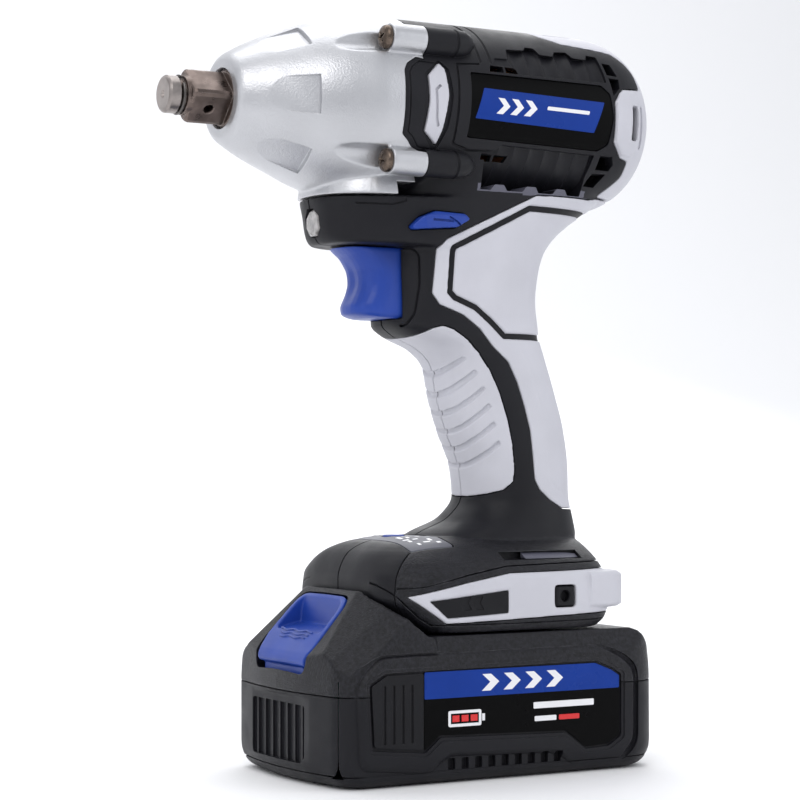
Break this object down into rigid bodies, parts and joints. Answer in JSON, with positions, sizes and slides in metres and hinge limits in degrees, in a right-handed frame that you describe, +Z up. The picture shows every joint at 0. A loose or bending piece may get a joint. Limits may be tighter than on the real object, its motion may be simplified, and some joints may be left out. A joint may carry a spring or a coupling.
{
  "type": "cordless impact wrench",
  "caption": "Pistol-grip cordless impact wrench with a square drive anvil, silver hammer case, trigger, direction selector and a slide-on battery pack.",
  "frame": {"origin": "on the surface the battery stands on, under the middle of the tool's length and width", "axes": "+X forward along the drive axis, +Y to the tool's left, +Z up"},
  "size_m": [0.172, 0.0764, 0.2432],
  "materials": {
    "housing_plastic": "fine spark-eroded texture",
    "trim_grey": "light satin overmould",
    "case_alloy": "satin silver paint on die casting",
    "drive_steel": "dark hardened steel",
    "bright_steel": "ground",
    "screw_steel": "dark nickel",
    "bushing_bronze": "sintered bronze",
    "blue_plastic": "semi gloss",
    "label_film": "gloss film",
    "lens_clear": "clear moulding",
    "panel_film": "membrane",
    "board_green": "solder mask",
    "motor_core": "laminated, wound",
    "nylon": "glass-filled nylon",
    "cell_can": "wrapped cells",
    "nut_steel": "black oxide"
  },
  "bodies": {
    "root": {"left_housing": "housing_plastic", "right_housing": "housing_plastic", "hammer_case": "case_alloy", "case_screw_1": "screw_steel", "case_screw_2": "screw_steel", "case_screw_3": "screw_steel", "case_screw_4": "screw_steel", "housing_screw_1": "screw_steel", "housing_screw_2": "screw_steel", "housing_screw_3": "screw_steel", "housing_screw_4": "screw_steel", "nose_bushing": "bushing_bronze", "ring_gear": "drive_steel", "gearbox_plate": "nylon", "motor_stator": "motor_core", "rear_bearing": "bright_steel", "rear_cap": "trim_grey", "rear_trim_left": "trim_grey", "rear_trim_right": "trim_grey", "front_grip_left": "trim_grey", "front_grip_right": "trim_grey", "nameplate_left": "label_film", "nameplate_right": "label_film", "accent_left": "trim_grey", "accent_right": "trim_grey", "foot_trim_left": "trim_grey", "foot_trim_right": "trim_grey", "hook_nut_left": "nut_steel", "hook_nut_right": "nut_steel", "led_lens": "lens_clear", "led_board": "board_green", "control_panel": "panel_film", "switch_body": "housing_plastic", "controller_board": "board_green", "terminal_block": "nylon", "trigger_spring": "bright_steel"},
    "anvil": {"anvil": "drive_steel", "friction_ring": "bright_steel"},
    "spindle": {"spindle": "drive_steel", "cam_ball_1": "bright_steel", "cam_ball_2": "bright_steel", "hammer_spring": "bright_steel"},
    "hammer": {"hammer": "drive_steel"},
    "planet_1": {"planet_gear_1": "drive_steel"},
    "planet_2": {"planet_gear_2": "drive_steel"},
    "planet_3": {"planet_gear_3": "drive_steel"},
    "rotor": {"rotor": "bright_steel", "fan": "housing_plastic"},
    "trigger": {"trigger": "blue_plastic"},
    "selector": {"direction_selector": "blue_plastic"},
    "mode_button": {"mode_button": "blue_plastic"},
    "battery": {"battery_shell_upper": "housing_plastic", "battery_shell_lower": "housing_plastic", "battery_cells": "cell_can", "battery_board": "board_green", "battery_label_left": "label_film", "battery_label_right": "label_film"},
    "latch": {"battery_latch": "blue_plastic"}
  },
  "joints": [
    {"name": "spindle_spin", "type": "hinge", "parent": "root", "child": "spindle", "pos_m": [0, 0, 0.213], "axis": [1, 0, 0], "continuous": true},
    {"name": "anvil_spin", "type": "hinge", "parent": "root", "child": "anvil", "pos_m": [0.06, 0, 0.213], "axis": [1, 0, 0], "continuous": true},
    {"name": "rotor_spin", "type": "hinge", "parent": "root", "child": "rotor", "pos_m": [-0.04, 0, 0.213], "axis": [1, 0, 0], "continuous": true},
    {"name": "planet_1_spin", "type": "hinge", "parent": "spindle", "child": "planet_1", "pos_m": [-0.005, 0, 0.2265], "axis": [1, 0, 0], "continuous": true},
    {"name": "planet_2_spin", "type": "hinge", "parent": "spindle", "child": "planet_2", "pos_m": [-0.005, -0.01169, 0.20625], "axis": [1, 0, 0], "continuous": true},
    {"name": "planet_3_spin", "type": "hinge", "parent": "spindle", "child": "planet_3", "pos_m": [-0.005, 0.01169, 0.20625], "axis": [1, 0, 0], "continuous": true},
    {"name": "hammer_slide", "type": "slide", "parent": "spindle", "child": "hammer", "axis": [-1, 0, 0], "range_m": [0, 0.008], "stiffness_N_per_m": 1500, "deforming": ["hammer_spring"]},
    {"name": "trigger_pull", "type": "slide", "parent": "root", "child": "trigger", "axis": [-1, 0, 0], "range_m": [0, 0.006], "stiffness_N_per_m": 1500, "deforming": ["trigger_spring"]},
    {"name": "selector_shift", "type": "slide", "parent": "root", "child": "selector", "axis": [0, 1, 0], "range_m": [-0.0025, 0.0025]},
    {"name": "mode_button_press", "type": "slide", "parent": "root", "child": "mode_button", "axis": [0, 0, -1], "range_m": [0, 0.0006], "stiffness_N_per_m": 1500},
    {"name": "battery_slide", "type": "slide", "parent": "root", "child": "battery", "axis": [1, 0, 0], "range_m": [0, 0.08]},
    {"name": "latch_press", "type": "slide", "parent": "battery", "child": "latch", "axis": [0.5685, 0, -0.8226], "range_m": [0, 0.003], "stiffness_N_per_m": 1500}
  ],
  "couplings": [
    {"joint": "anvil_spin", "follows": "spindle_spin", "ratio": 1},
    {"joint": "rotor_spin", "follows": "spindle_spin", "ratio": 5},
    {"joint": "planet_1_spin", "follows": "spindle_spin", "ratio": -2.6667},
    {"joint": "planet_2_spin", "follows": "spindle_spin", "ratio": -2.6667},
    {"joint": "planet_3_spin", "follows": "spindle_spin", "ratio": -2.6667}
  ]
}
